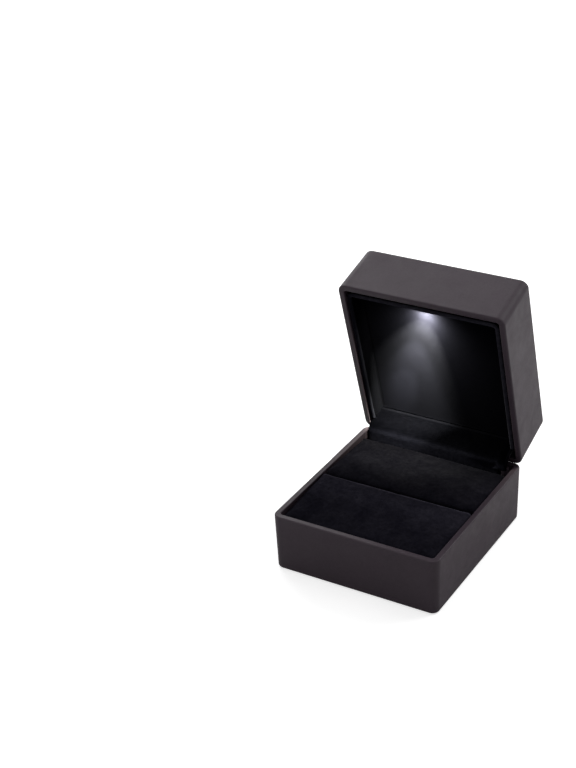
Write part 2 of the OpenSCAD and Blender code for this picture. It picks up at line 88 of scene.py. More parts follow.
# moves what is made in the shut lid's place to the open lid's
OPENED = (Matrix.Translation((0, PIN_Y * MM, PIN_Z * MM)) @ Matrix.Rotation(radians(-OPEN), 4, "X")
          @ Matrix.Translation((0, -PIN_Y * MM, -PIN_Z * MM)))


# ---------------------------------------------------------------- camera
def make_camera():
    """The photograph's view: a look at the point 12 mm above the base's middle, with a slight roll"""
    yaw, pitch, roll = radians(32.2203), radians(28.7868), radians(-2.9419)
    f_px, off_x, off_y, dist = 1638.8, 399.42 - 288, 511.01 - 384, 0.549163
    look = Vector((0, 0, 0.012))
    fwd = Vector((-sin(yaw) * cos(pitch), cos(yaw) * cos(pitch), -sin(pitch)))
    right = Vector((cos(yaw), sin(yaw), 0))
    up = right.cross(fwd)
    x_axis = right * cos(roll) + up * sin(roll)
    y_axis = up * cos(roll) - right * sin(roll)
    place = look - x_axis * (off_x / f_px * dist) + y_axis * (off_y / f_px * dist) - fwd * dist
    cam = bpy.data.objects.new("camera", bpy.data.cameras.new("camera"))
    scene.collection.objects.link(cam)
    cam.matrix_world = Matrix((
        (x_axis.x, y_axis.x, -fwd.x, place.x),
        (x_axis.y, y_axis.y, -fwd.y, place.y),
        (x_axis.z, y_axis.z, -fwd.z, place.z),
        (0, 0, 0, 1)))
    cam.data.sensor_width = 36
    cam.data.lens = f_px * 36 / 768
    cam.data.clip_start, cam.data.clip_end = 0.01, 20
    scene.camera = cam


make_camera()


# ---------------------------------------------------------------- materials
def new_mat(name):
    m = bpy.data.materials.new(name)
    m.use_nodes = True
    nt = m.node_tree
    nt.nodes.clear()
    out = nt.nodes.new("ShaderNodeOutputMaterial")
    bsdf = nt.nodes.new("ShaderNodeBsdfPrincipled")
    nt.links.new(bsdf.outputs["BSDF"], out.inputs["Surface"])
    return m, nt, bsdf


def add(nt, kind, **props):
    n = nt.nodes.new(kind)
    for k, v in props.items():
        if k in n.inputs:
            n.inputs[k].default_value = v
        else:
            setattr(n, k, v)
    return n


def coords(nt):
    return add(nt, "ShaderNodeTexCoord").outputs["Object"]


def noise_tex(nt, scale, detail=3.0, rough=0.55, distort=0.0, stretch=None):
    n = nt.nodes.new("ShaderNodeTexNoise")
    n.inputs["Scale"].default_value = scale
    n.inputs["Detail"].default_value = detail
    n.inputs["Roughness"].default_value = rough
    n.inputs["Distortion"].default_value = distort
    src = coords(nt)
    if stretch:
        m = nt.nodes.new("ShaderNodeMapping")
        m.inputs["Scale"].default_value = stretch
        nt.links.new(src, m.inputs["Vector"])
        src = m.outputs["Vector"]
    nt.links.new(src, n.inputs["Vector"])
    return n.outputs["Fac"]


def ramp(nt, fac, stops):
    r = nt.nodes.new("ShaderNodeValToRGB")
    while len(r.color_ramp.elements) < len(stops):
        r.color_ramp.elements.new(0.5)
    for e, (pos, col) in zip(r.color_ramp.elements, stops):
        e.position = pos
        e.color = (*col, 1) if len(col) == 3 else col
    nt.links.new(fac, r.inputs["Fac"])
    return r.outputs["Color"]


def spread(nt, fac, lo, hi, from_lo=0.3, from_hi=0.7):
    n = nt.nodes.new("ShaderNodeMapRange")
    for k, v in (("From Min", from_lo), ("From Max", from_hi), ("To Min", lo), ("To Max", hi)):
        n.inputs[k].default_value = v
    nt.links.new(fac, n.inputs["Value"])
    return n.outputs["Result"]


def bump(nt, height, distance, strength=1.0, normal=None):
    b = nt.nodes.new("ShaderNodeBump")
    b.inputs["Strength"].default_value = strength
    b.inputs["Distance"].default_value = distance
    nt.links.new(height, b.inputs["Height"])
    if normal is not None:
        nt.links.new(normal, b.inputs["Normal"])
    return b.outputs["Normal"]


def mul(nt, a, b):
    n = nt.nodes.new("ShaderNodeMix")
    n.data_type = "RGBA"
    n.blend_type = "MULTIPLY"
    n.inputs[0].default_value = 1
    nt.links.new(a, n.inputs[6])
    nt.links.new(b, n.inputs[7])
    return n.outputs[2]


def tint(c, k):
    return tuple(x * k for x in c[:3])


def shell_material():
    """Soft-touch coated moulding: matt, with a fine spray grain and faint handling marks"""
    m, nt, b = new_mat("soft_touch_shell")
    base = (0.0370, 0.0262, 0.0348)
    wide = noise_tex(nt, 70, 4, 0.6)
    fine = noise_tex(nt, 1400, 3, 0.6)
    c1 = ramp(nt, wide, [(0.3, tint(base, 0.93)), (0.7, tint(base, 1.07))])
    c2 = ramp(nt, fine, [(0.3, (0.93, 0.93, 0.93)), (0.7, (1.07, 1.07, 1.07))])
    nt.links.new(mul(nt, c1, c2), b.inputs["Base Color"])
    smear = noise_tex(nt, 160, 5, 0.65, 0.6)
    nt.links.new(spread(nt, smear, 0.46, 0.58), b.inputs["Roughness"])
    grain = noise_tex(nt, 5200, 2, 0.5)
    nt.links.new(bump(nt, grain, 0.00003, 0.35), b.inputs["Normal"])
    b.inputs["Specular IOR Level"].default_value = 0.20
    return m


def velvet_material(name, base, lit, sheen, hue, painted_light=None, pile=1.0):
    """Short pile: near black into it, pale along it, brushed into soft patches. The gains along one axis are
    painted light and shade: the axis, its ends in mm and the (place, gain or colour gain) pairs between them.
    pile is how deep its tufts and its mottling are."""
    m, nt, b = new_mat(name)
    brushed = noise_tex(nt, 150, 5, 0.62, 0.7)
    tuft = noise_tex(nt, 2600, 3, 0.7)
    speck = noise_tex(nt, 780, 5, 0.72)
    c1 = ramp(nt, brushed, [(0.30, base), (0.70, lit)])
    mottle, mottle_blue = 0.38 * pile, 0.36 * pile
    c2 = ramp(nt, speck, [(0.30, (1 - mottle, 1 - mottle, 1 - mottle_blue)),
                          (0.70, (1 + mottle, 1 + mottle, 1 + mottle_blue))])
    c3 = mul(nt, c1, c2)
    # painted light and shade: the colour is made lighter or darker along one axis
    if painted_light:
        axis, lo, hi, gains = painted_light
        parts = nt.nodes.new("ShaderNodeSeparateXYZ")
        nt.links.new(coords(nt), parts.inputs[0])
        place = spread(nt, parts.outputs[axis], 0, 1, lo * MM, hi * MM)
        stops = [((at - lo) / (hi - lo), k if isinstance(k, tuple) else (k, k, k)) for at, k in gains]
        c3 = mul(nt, c3, ramp(nt, place, stops))
    nt.links.new(c3, b.inputs["Base Color"])
    b.inputs["Roughness"].default_value = 0.95
    b.inputs["Specular IOR Level"].default_value = 0.0
    b.inputs["Sheen Weight"].default_value = sheen
    b.inputs["Sheen Roughness"].default_value = 0.35
    b.inputs["Sheen Tint"].default_value = (*hue, 1)
    n1 = bump(nt, tuft, 0.00012 * pile, 0.5)
    nt.links.new(bump(nt, speck, 0.00024 * pile, 0.4, n1), b.inputs["Normal"])
    return m


def metal_material(name, col, rough, stretch=(1, 1, 1), scale=900):
    """Plated sheet or wire with fine streaks along one axis"""
    m, nt, b = new_mat(name)
    streak = noise_tex(nt, scale, 4, 0.6, 0, stretch)
    nt.links.new(ramp(nt, streak, [(0.3, tint(col, 0.86)), (0.7, tint(col, 1.08))]), b.inputs["Base Color"])
    nt.links.new(spread(nt, streak, rough * 0.8, rough * 1.3), b.inputs["Roughness"])
    b.inputs["Metallic"].default_value = 1
    nt.links.new(bump(nt, streak, 0.004 * MM, 0.5), b.inputs["Normal"])
    return m


def plastic_material(name, col, rough, scale=700, spec=0.4):
    """Moulded part, card or insulation with a slight mottle"""
    m, nt, b = new_mat(name)
    n = noise_tex(nt, scale, 4, 0.6)
    nt.links.new(ramp(nt, n, [(0.3, tint(col, 0.85)), (0.7, tint(col, 1.12))]), b.inputs["Base Color"])
    nt.links.new(spread(nt, n, rough * 0.85, rough * 1.15), b.inputs["Roughness"])
    b.inputs["Specular IOR Level"].default_value = spec
    nt.links.new(bump(nt, n, 0.00003, 0.3), b.inputs["Normal"])
    return m


def board_material():
    """Solder mask over faint copper tracks"""
    m, nt, b = new_mat("printed_board")
    n = noise_tex(nt, 500, 3, 0.6)
    w = nt.nodes.new("ShaderNodeTexWave")
    w.inputs["Scale"].default_value = 180
    w.inputs["Distortion"].default_value = 3
    nt.links.new(coords(nt), w.inputs["Vector"])
    c1 = ramp(nt, w.outputs["Fac"], [(0.42, (0.012, 0.085, 0.035)), (0.5, (0.022, 0.13, 0.05))])
    c2 = ramp(nt, n, [(0.3, (0.85, 0.85, 0.85)), (0.7, (1.15, 1.15, 1.15))])
    nt.links.new(mul(nt, c1, c2), b.inputs["Base Color"])
    b.inputs["Roughness"].default_value = 0.3
    nt.links.new(bump(nt, w.outputs["Fac"], 0.00003, 0.5), b.inputs["Normal"])
    return m


def glow_material(name, col, strength):
    """Phosphor that shines by itself"""
    m, nt, b = new_mat(name)
    n = noise_tex(nt, 900, 2, 0.5)
    nt.links.new(ramp(nt, n, [(0.3, tint(col, 0.9)), (0.7, col)]), b.inputs["Base Color"])
    nt.links.new(ramp(nt, n, [(0.3, tint(col, 0.85)), (0.7, col)]), b.inputs["Emission Color"])
    b.inputs["Emission Strength"].default_value = strength
    b.inputs["Roughness"].default_value = 0.4
    return m


def lens_material():
    """Clear moulded lens, lit from within"""
    m, nt, b = new_mat("clear_lens")
    n = noise_tex(nt, 1200, 2, 0.5)
    nt.links.new(ramp(nt, n, [(0.3, (0.93, 0.95, 0.96)), (0.7, (1, 1, 1))]), b.inputs["Base Color"])
    nt.links.new(spread(nt, n, 0.03, 0.08), b.inputs["Roughness"])
    b.inputs["Transmission Weight"].default_value = 1
    b.inputs["IOR"].default_value = 1.49
    b.inputs["Emission Color"].default_value = (0.95, 0.97, 1, 1)
    b.inputs["Emission Strength"].default_value = 0.6
    return m


SHELL = shell_material()
DEEP_SHEEN, SOFT_SHEEN = (0.75, 0.72, 1.0), (0.82, 0.78, 0.94)
# painted light and shade along the cushions: a painted pool of light in front of the ring slit, painted shade
# just behind the slit and towards the back
CUSHION_VELVET = velvet_material(
    "cushion_velvet", (0.0062, 0.0058, 0.0094), (0.0132, 0.0124, 0.0176), 0.030, SOFT_SHEEN,
    painted_light=("Y", -32, 28, [(-30, 0.9), (-18, 1.0), (-9, (1.85, 1.85, 1.78)), (-2.5, (1.65, 1.65, 1.6)),
                        (-1, 0.7), (3, (0.88, 0.87, 0.84)), (12, (0.98, 0.96, 0.95)),
                        (24, (0.52, 0.50, 0.50))]))
# painted highlight: a paler velvet for the front cushion's edge along the ring slit
SLIT_HIGHLIGHT_VELVET = velvet_material(
    "slit_painted_highlight", (0.0330, 0.0310, 0.0430), (0.0420, 0.0394, 0.0530), 0.060, SOFT_SHEEN)
LINER_VELVET = velvet_material(
    "liner_velvet", (0.00120, 0.00112, 0.00182), (0.00142, 0.00133, 0.00215), 0.004, DEEP_SHEEN, pile=0.3)
# painted highlight on the liner's rolled rim, with painted shade towards its left end
ROLL_PAINTED_LIGHT = velvet_material(
    "roll_velvet_painted_light", (0.0150, 0.0141, 0.0194), (0.0210, 0.0198, 0.0266), 0.035, (0.75, 0.70, 1.0),
    painted_light=("X", -30, 30, [(-26.5, (0.26, 0.26, 0.30)), (-22, 1.0)]))
# painted light and shade up the strip: far paler low down round the hinge, darker up towards the panel
STRIP_VELVET = velvet_material(
    "strip_velvet", (0.00041, 0.00039, 0.00066), (0.00071, 0.00067, 0.00107), 0.003, DEEP_SHEEN,
    painted_light=("Z", 18, 32, [(21, 10), (22, 6.0), (22.6, 2.1), (23.2, 1.0), (24.2, 0.62), (25.2, 0.41),
                       (26.3, 0.33), (30, 0.28)]))
# painted shade on the liner's side walls and the strip's hem: a darker copy of the liner's velvet
WALL_PAINTED_SHADE = velvet_material(
    "wall_velvet_painted_shade", (0.00036, 0.00034, 0.00054), (0.00062, 0.00058, 0.00088), 0.003, DEEP_SHEEN, pile=0.5)
STEEL = metal_material("plated_steel", (0.50, 0.50, 0.51), 0.34, (1, 1, 14))
SPRING = metal_material("spring_steel", (0.34, 0.34, 0.36), 0.38, (14, 1, 1))
CELL = metal_material("cell_steel", (0.62, 0.62, 0.63), 0.24, (1, 1, 1), 1500)
BRASS = metal_material("contact_brass", (0.62, 0.47, 0.22), 0.3, (10, 1, 1))
BLACK = plastic_material("moulded_black", (0.010, 0.010, 0.011), 0.7, spec=0.12)
BOARD = board_material()
CARD = plastic_material("pressed_card", (0.15, 0.105, 0.07), 0.85, 1600, 0.1)
RED = plastic_material("wire_red", (0.33, 0.03, 0.02), 0.5)
DARK = plastic_material("wire_black", (0.02, 0.02, 0.022), 0.5)
CHIP = glow_material("led_phosphor", (1.0, 0.93, 0.66), 2.0)
LENS = lens_material()

NODE_MATS = {
    "cushion_board": CARD, "hinge_leaf_base": STEEL, "hinge_leaf_lid": STEEL, "hinge_pin": STEEL,
    "snap_spring": SPRING, "board_screws": STEEL, "switch_spring": SPRING, "coin_cell": CELL,
    "circuit_board": BOARD, "led_board": BOARD, "battery_holder": BLACK, "switch_housing": BLACK,
    "switch_plunger": BLACK, "contact_top": BRASS, "contact_bottom": BRASS, "led_chip": CHIP,
    "led_lens": LENS, "led_wires": RED, "switch_wires": DARK,
    "base_shell": SHELL, "lid_shell": SHELL, "lid_liner": LINER_VELVET, "hinge_cover": STRIP_VELVET,
    "foam_front": CARD, "foam_rear": CARD, "velvet_front": CUSHION_VELVET, "velvet_rear": CUSHION_VELVET,
}
for node_name, node_mat in NODE_MATS.items():
    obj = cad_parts[node_name]
    obj.data.materials.clear()
    obj.data.materials.append(node_mat)


# ---------------------------------------------------------------- mesh helpers
def make_object(name, verts, faces, mat):
    """Smooth closed mesh from corners in mm"""
    me = bpy.data.meshes.new(name)
    me.from_pydata([tuple(c * MM for c in v) for v in verts], [], faces)
    me.update()
    bm = bmesh.new()
    bm.from_mesh(me)
    bmesh.ops.recalc_face_normals(bm, faces=bm.faces)
    bm.to_mesh(me)
    bm.free()
    for p in me.polygons:
        p.use_smooth = True
    o = bpy.data.objects.new(name, me)
    scene.collection.objects.link(o)
    me.materials.append(mat)
    return o


def ring(w, d, r, z, n, y0):
    """Rounded rectangle at height z, with holding points where the corners end"""
    hold = 0.25
    out = []
    hx, hy = w / 2 - r, d / 2 - r
    signs = [(1, 1), (-1, 1), (-1, -1), (1, -1)]
    for q, (sx, sy) in enumerate(signs):
        for k in range(n + 1):
            a = radians(90 * q + 90 * k / n)
            out.append((sx * hx + r * cos(a), y0 + sy * hy + r * sin(a), z))
        a = radians(90 * (q + 1))
        dx, dy = -sin(a), cos(a)
        end = (sx * hx + r * cos(a), sy * hy + r * sin(a))
        length = 2 * (hx if q % 2 == 0 else hy)
        for t in (hold / length, 0.25, 0.5, 0.75, 1 - hold / length):
            out.append((end[0] + dx * length * t, y0 + end[1] + dy * length * t, z))
    return out


def loft(name, sections, mat, n=12, y0=0.0):
    """Closed surface through a path of rounded rectangles, capped at both ends"""
    rings = [ring(*section, n, y0) for section in sections]
    m = len(rings[0])
    verts = [v for r in rings for v in r]
    faces = []
    for i in range(len(rings) - 1):
        for j in range(m):
            a, b = i * m + j, i * m + (j + 1) % m
            faces.append((a, a + m, b + m, b))
    faces.append(tuple(range(m)))
    faces.append(tuple((len(rings) - 1) * m + j for j in range(m - 1, -1, -1)))
    return make_object(name, verts, faces, mat)


def bend(p, q, r, t):
    """Point of the curve from p to r that q pulls"""
    return (1 - t) * (1 - t) * p + 2 * t * (1 - t) * q + t * t * r


def lerp(a, b, t):
    return a + (b - a) * t


def quarter(steps, first=0):
    """Quarter turn in steps, as a share that falls from 1 to 0 and one that rises from 0 to 1"""
    for k in range(first, steps + 1):
        a = radians(90 * k / steps)
        yield 1 - sin(a), 1 - cos(a)


def block_object(name, lo, hi):
    """Cutter: a box from lo to hi in mm"""
    bm = bmesh.new()
    bmesh.ops.create_cube(bm, size=1)
    for v in bm.verts:
        for i in range(3):
            v.co[i] = (lerp(lo[i], hi[i], v.co[i] + 0.5)) * MM
    me = bpy.data.meshes.new(name)
    bm.to_mesh(me)
    bm.free()
    o = bpy.data.objects.new(name, me)
    scene.collection.objects.link(o)
    return o


def cut(o, *cutters):
    """Takes the cutters away from o, one by one"""
    for c in cutters:
        mod = o.modifiers.new("cut", "BOOLEAN")
        mod.object = c
        mod.operation = "DIFFERENCE"
        mod.solver = "EXACT"
        apply_mods(o)
        bpy.data.objects.remove(c)


def apply_mods(o):
    """Makes the modified mesh the object's own"""
    dg = bpy.context.evaluated_depsgraph_get()
    me = bpy.data.meshes.new_from_object(o.evaluated_get(dg))
    old = o.data
    o.modifiers.clear()
    o.data = me
    me.name = old.name


def weld_normals(o, angle=32):
    """Smooth across rounded edges and sharp across real ones, with flats kept flat"""
    me = o.data
    for p in me.polygons:
        p.use_smooth = True
    bm = bmesh.new()
    bm.from_mesh(me)
    for e in bm.edges:
        e.smooth = not (len(e.link_faces) == 2 and e.calc_face_angle(0) > radians(angle))
    bm.to_mesh(me)
    bm.free()
    mod = o.modifiers.new("normals", "WEIGHTED_NORMAL")
    mod.keep_sharp = True
    mod.weight = 60
    apply_mods(o)


def to_open(o):
    """Opens a mesh that was made in the shut lid's place"""
    o.data.transform(OPENED)


def trim(o, mat, test):
    """Second velvet on the faces whose middle, in mm, passes the test"""
    o.data.materials.append(mat)
    for p in o.data.polygons:
        if test(*(c / MM for c in p.center)):
            p.material_index = len(o.data.materials) - 1


# ---------------------------------------------------------------- shells
def inner_edge(rim_z, up):
    """The hollow's edge, rounded over to the rim; up is 1 where the wall rises to its rim, and -1 where it
    hangs down to it"""
    return [(2 * IN_X + 2 * RIM_EDGE * rise, 2 * IN_Y + 2 * RIM_EDGE * rise, INNER_R + RIM_EDGE * rise,
             rim_z - up * RIM_EDGE * fall) for fall, rise in quarter(6)]


def cut_notch(o):
    """Room for the hinge's barrel in the rear wall"""
    room = BARREL_R + 0.3
    cut(o, block_object("notch", (-HINGE_W / 2 - 0.5, LEG_Y - 0.2, PIN_Z - room),
                        (HINGE_W / 2 + 0.5, BOX_D, PIN_Z + room)))


def make_base():
    """Tray: from the middle of its floor, up the inside, over the rim and down the outside to its foot"""
    w, d, low = 2 * IN_X, 2 * IN_Y, 0.5
    path = [(w - 6, d - 6, INNER_R - 0.5, FLOOR_T), (w - 2 * low, d - 2 * low, INNER_R - low * 0.6, FLOOR_T)]
    for fall, rise in quarter(6, 1):
        path.append((w - 2 * low * fall, d - 2 * low * fall, INNER_R, FLOOR_T + low * rise))
    path.append((w, d, INNER_R, BASE_H - (RIM_EDGE + 0.15)))
    path += inner_edge(BASE_H, 1)
    path.append((BOX_W - 2 * RIM_ROUND - 0.1, BOX_D - 2 * RIM_ROUND - 0.1, CORNER_R - RIM_ROUND, BASE_H))
    for fall, rise in quarter(8):
        g = RIM_ROUND * fall
        path.append((BOX_W - 2 * g, BOX_D - 2 * g, CORNER_R - g, BASE_H - RIM_ROUND * rise))
    for z in (BASE_H - RIM_ROUND - 0.3, 15, 10, 5, FOOT_ROUND + 0.3):
        t = (BASE_H - RIM_ROUND - z) / (BASE_H - RIM_ROUND - FOOT_ROUND)
        g = DRAFT * t
        path.append((BOX_W - 2 * g, BOX_D - 2 * g, CORNER_R - g, z))
    for fall, rise in quarter(8):
        g = DRAFT + FOOT_ROUND * rise
        path.append((BOX_W - 2 * g, BOX_D - 2 * g, CORNER_R - g, FOOT_ROUND * fall))
    path.append((BOX_W - 2 * g - 0.6, BOX_D - 2 * g - 0.6, CORNER_R - g, 0))
    o = loft("base_moulding", path, SHELL)
    cut_notch(o)
    weld_normals(o)
    return o


def roof_path(inset, lean, steps):
    """The lid's sloping top, from where its walls end to the flat panel"""
    run = (BOX_W - TOP_W) / 2 - lean
    slope = math.atan2(ROOF_RISE, run)
    w0, d0 = BOX_W - 2 * lean - 2 * inset, BOX_D - 2 * lean - 2 * inset
    w1, d1 = TOP_W - 2 * inset * math.tan(slope / 2), TOP_D - 2 * inset * math.tan(slope / 2)
    z0, z1 = SKIRT_Z - inset * (1 - sin(slope)) / cos(slope), ROOF_Z - inset
    r0, r1 = (INNER_R, INNER_R) if inset else (CORNER_R - lean, TOP_R)
    low, high = BROW / run, 1 - PANEL_ROUND / run
    out = []

    def sec(t, z):
        out.append((lerp(w0, w1, t), lerp(d0, d1, t), lerp(r0, r1, t), z))

    for k in range(steps + 1):
        s = k / steps
        sec(bend(0, 0, low, s), bend(z0 - BROW, z0, lerp(z0, z1, low), s))
    for k in range(1, steps):
        u = k / steps
        t = lerp(low, high, u)
        sec(t, lerp(z0, z1, t) - (0 if inset else 4 * HOLLOW * u * (1 - u)))
    for k in range(steps + 1):
        s = k / steps
        sec(bend(high, 1, 2 - high, s), bend(lerp(z0, z1, high), z1, z1, s))
    sec(3 - 2 * high, z1)
    return out


def make_lid():
    """Lid, made shut: from the middle of its hollow's top, down the inside, over the rim, up and over"""
    path = list(reversed(roof_path(WALL, 0, 3)))
    path.append((2 * IN_X, 2 * IN_Y, INNER_R, LID_Z + RIM_EDGE + 0.15))
    path += inner_edge(LID_Z, -1)
    path.append((BOX_W - 2 * RIM_ROUND - 0.1, BOX_D - 2 * RIM_ROUND - 0.1, CORNER_R - RIM_ROUND, LID_Z))
    for fall, rise in quarter(8):
        g = RIM_ROUND * fall
        path.append((BOX_W - 2 * g, BOX_D - 2 * g, CORNER_R - g, LID_Z + RIM_ROUND * rise))
    top = SKIRT_Z - BROW
    for z in (LID_Z + RIM_ROUND + 0.3, LID_Z + 6, LID_Z + 12, top - 0.3):
        g = DRAFT * (z - LID_Z - RIM_ROUND) / (top - LID_Z - RIM_ROUND)
        path.append((BOX_W - 2 * g, BOX_D - 2 * g, CORNER_R - g, z))
    o = loft("lid_moulding", path + roof_path(0, DRAFT, 8), SHELL, n=14)
    cut_notch(o)
    weld_normals(o)
    to_open(o)
    return o


base = make_base()
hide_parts("base_shell")
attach(base, "base")
lid = make_lid()
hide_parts("lid_shell")
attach(lid, "lid")


# Switch post in the base's hinge corner, and the pegs spread over the hinge's leaves
def lathe(name, profile, at, axis="Z", mat=None):
    """Turned solid from (radius, height) pairs in mm"""
    n = 32
    verts, faces = [], []
    for r, h in profile:
        for k in range(n):
            a = 2 * math.pi * k / n
            verts.append((r * cos(a), r * sin(a), h))
    for i in range(len(profile) - 1):
        for k in range(n):
            a, b = i * n + k, i * n + (k + 1) % n
            faces.append((a, b, b + n, a + n))
    faces.append(tuple(range(n - 1, -1, -1)))
    faces.append(tuple((len(profile) - 1) * n + k for k in range(n)))
    if axis == "-Y":
        verts = [(x, -z, y) for x, y, z in verts]
    verts = [(x + at[0], y + at[1], z + at[2]) for x, y, z in verts]
    o = make_object(name, verts, faces, mat)
    weld_normals(o)
    return o


post = lathe("switch_post", [(POST_R, FLOOR_T), (POST_R, POST_Z - 0.25), (POST_R - 0.07, POST_Z - 0.08),
                             (POST_R - 0.25, POST_Z)], (SWITCH_X, SWITCH_Y, 0), mat=SHELL)
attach(post, "base")
for side in (-1, 1):
    for where in ("base", "lid"):
        z = PIN_Z - PEG_RISE if where == "base" else PIN_Z + PEG_RISE
        peg = lathe(f"leaf_peg_{where}_{'l' if side < 0 else 'r'}",
                    [(0.9, -0.7), (0.9, 0.05), (1.4, 0.05), (1.38, 0.2), (1.15, 0.42), (0.7, 0.5)],
                    (side * PEG_X, LEG_Y, z), axis="-Y", mat=SHELL)
        if where == "lid":
            to_open(peg)
        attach(peg, where)


# ---------------------------------------------------------------- lid liner
def make_liner():
    """Velvet-covered tray: walls with rolled edges round a panel, its hinge end open"""
    w, d = 2 * LINER_X, LINER_BACK - LINER_FRONT
    y0 = (LINER_FRONT + LINER_BACK) / 2
    in_w, in_d, r = w - 2 * LINER_T, d - 2 * LINER_T, 0.8
    roll = LINER_T / 2
    path = [(in_w - 8, in_d - 8, 0.6, PANEL_Z), (in_w - 1.6, in_d - 1.6, 0.5, PANEL_Z)]
    for fall, rise in quarter(6, 1):
        g = 2 * PANEL_FILLET * fall
        path.append((in_w - g, in_d - g, r, PANEL_Z - PANEL_FILLET * rise))
    path.append((in_w, in_d, r, PANEL_Z - 3))
    path.append((in_w, in_d, r, LINER_RIM_Z + roll + 0.3))
    for k in range(13):
        a = radians(180 * k / 12)
        g = roll * (1 - cos(a))
        path.append((in_w + 2 * g, in_d + 2 * g, r + g, LINER_RIM_Z + roll * (1 - sin(a))))
    path.append((w, d, 1.6, LINER_RIM_Z + roll + 0.3))
    path.append((w, d, 1.6, PANEL_Z - 1))
    path.append((w, d, 1.6, PANEL_TOP - 0.3))
    path.append((w - 0.6, d - 0.6, 1.3, PANEL_TOP))
    path.append((w - 6, d - 6, 1.0, PANEL_TOP))
    o = loft("lid_liner_tray", path, LINER_VELVET, n=8, y0=y0)
    window = lathe("window_cutter", [(WINDOW_R, -1), (WINDOW_R, 6)], (0, LINER_FRONT + 3, WINDOW_Z),
                   axis="-Y")
    cut(o,
        block_object("open_end", (-LINER_X - 1, LINER_BACK - 1.95, LINER_RIM_Z - 1),
                     (LINER_X - SWITCH_ROOM + 0.01, LINER_BACK + 1, PANEL_Z - 0.001)),
        block_object("switch_corner", (LINER_X - SWITCH_ROOM, LINER_BACK - SWITCH_ROOM, LINER_RIM_Z - 1),
                     (LINER_X + 1, LINER_BACK + 1, PANEL_TOP + 1)),
        window)
    weld_normals(o, 40)
    # painted light and shade: a paler velvet on the roll along the rim is a painted highlight, and a darker
    # velvet on the side walls is painted shade
    trim(o, ROLL_PAINTED_LIGHT, lambda x, y, z: z < LINER_RIM_Z + 0.5)
    trim(o, WALL_PAINTED_SHADE, lambda x, y, z: abs(x) > LINER_X - LINER_T - PANEL_FILLET - 0.02
         and 0.5 <= z - LINER_RIM_Z < PANEL_Z - LINER_RIM_Z - 0.01)
    to_open(o)
    return o


liner = make_liner()
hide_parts("lid_liner")
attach(liner, "lid")


# ---------------------------------------------------------------- cushions
CUSHION_HALF = CUSHION_X + CUSHION_REACH


def rolled(gap, r):
    """Fall of an edge of radius r, at a gap from its end"""
    return r - math.sqrt(max(r * r - (r - gap) ** 2, 0)) if gap < r else 0


def dense(t):
    """Even steps with finer ones at both ends"""
    return lerp(t, 0.5 - 0.5 * cos(math.pi * t), 0.8)


def cushion_top(x, y, y0, y1, low_side):
    """Height of the velvet: high and crisp at the slit, rolled at the walls, falling to its ends"""
    wall_y, slit_y = (y0, y1) if low_side < 0 else (y1, y0)
    u = abs(y - slit_y) / (y1 - y0)
    z = BASE_H + 0.3 - 1.2 * u * u - 0.3 * abs(x / CUSHION_HALF) ** 4
    z -= rolled(CUSHION_HALF - abs(x), 0.6)
    if low_side < 0:
        z -= rolled(abs(y - wall_y), 1.1) + rolled(abs(y - slit_y), 0.45)
        tuck = math.exp(-((x - 0.6) / 0.7) ** 2 - ((y - slit_y) / 1.3) ** 2)
        z -= 0.35 * tuck
    else:
        loose = max(x + 4, 0) / (CUSHION_HALF + 4)
        z -= rolled(abs(y - wall_y), 1.2 + 1.6 * loose)
        z -= rolled(abs(y - slit_y), 0.9 + 0.9 * max(-x, 0) / CUSHION_HALF)
    return z


def cushion_mesh(name, y0, y1, low_side):
    """Crowned block in mm: a grid on top, with its edge let down to the board. low_side is -1 where the wall
    is in front of it, and 1 where it is behind."""
    columns, rows, steps = 84, 48, 8
    xs = [-CUSHION_HALF + 2 * CUSHION_HALF * dense(i / columns) for i in range(columns + 1)]
    ys = [lerp(y0, y1, dense(j / rows)) for j in range(rows + 1)]
    verts = [(x, y, max(cushion_top(x, y, y0, y1, low_side), BOARD_Z + 8)) for y in ys for x in xs]
    faces = []
    for j in range(rows):
        for i in range(columns):
            a = j * (columns + 1) + i
            faces.append((a, a + 1, a + columns + 2, a + columns + 1))
    edge = (list(range(columns)) + [j * (columns + 1) + columns for j in range(rows)]
            + [rows * (columns + 1) + i for i in range(columns, 0, -1)]
            + [j * (columns + 1) for j in range(rows, 0, -1)])
    m = len(edge)
    above = edge
    for k in range(1, steps + 1):
        below = []
        for v in edge:
            x, y, z = verts[v]
            below.append(len(verts))
            verts.append((x, y, lerp(z, BOARD_Z, k / steps)))
        for a in range(m):
            b = (a + 1) % m
            faces.append((above[a], below[a], below[b], above[b]))
        above = below
    faces.append(tuple(reversed(above)))
    return make_object(name, verts, faces, CUSHION_VELVET)


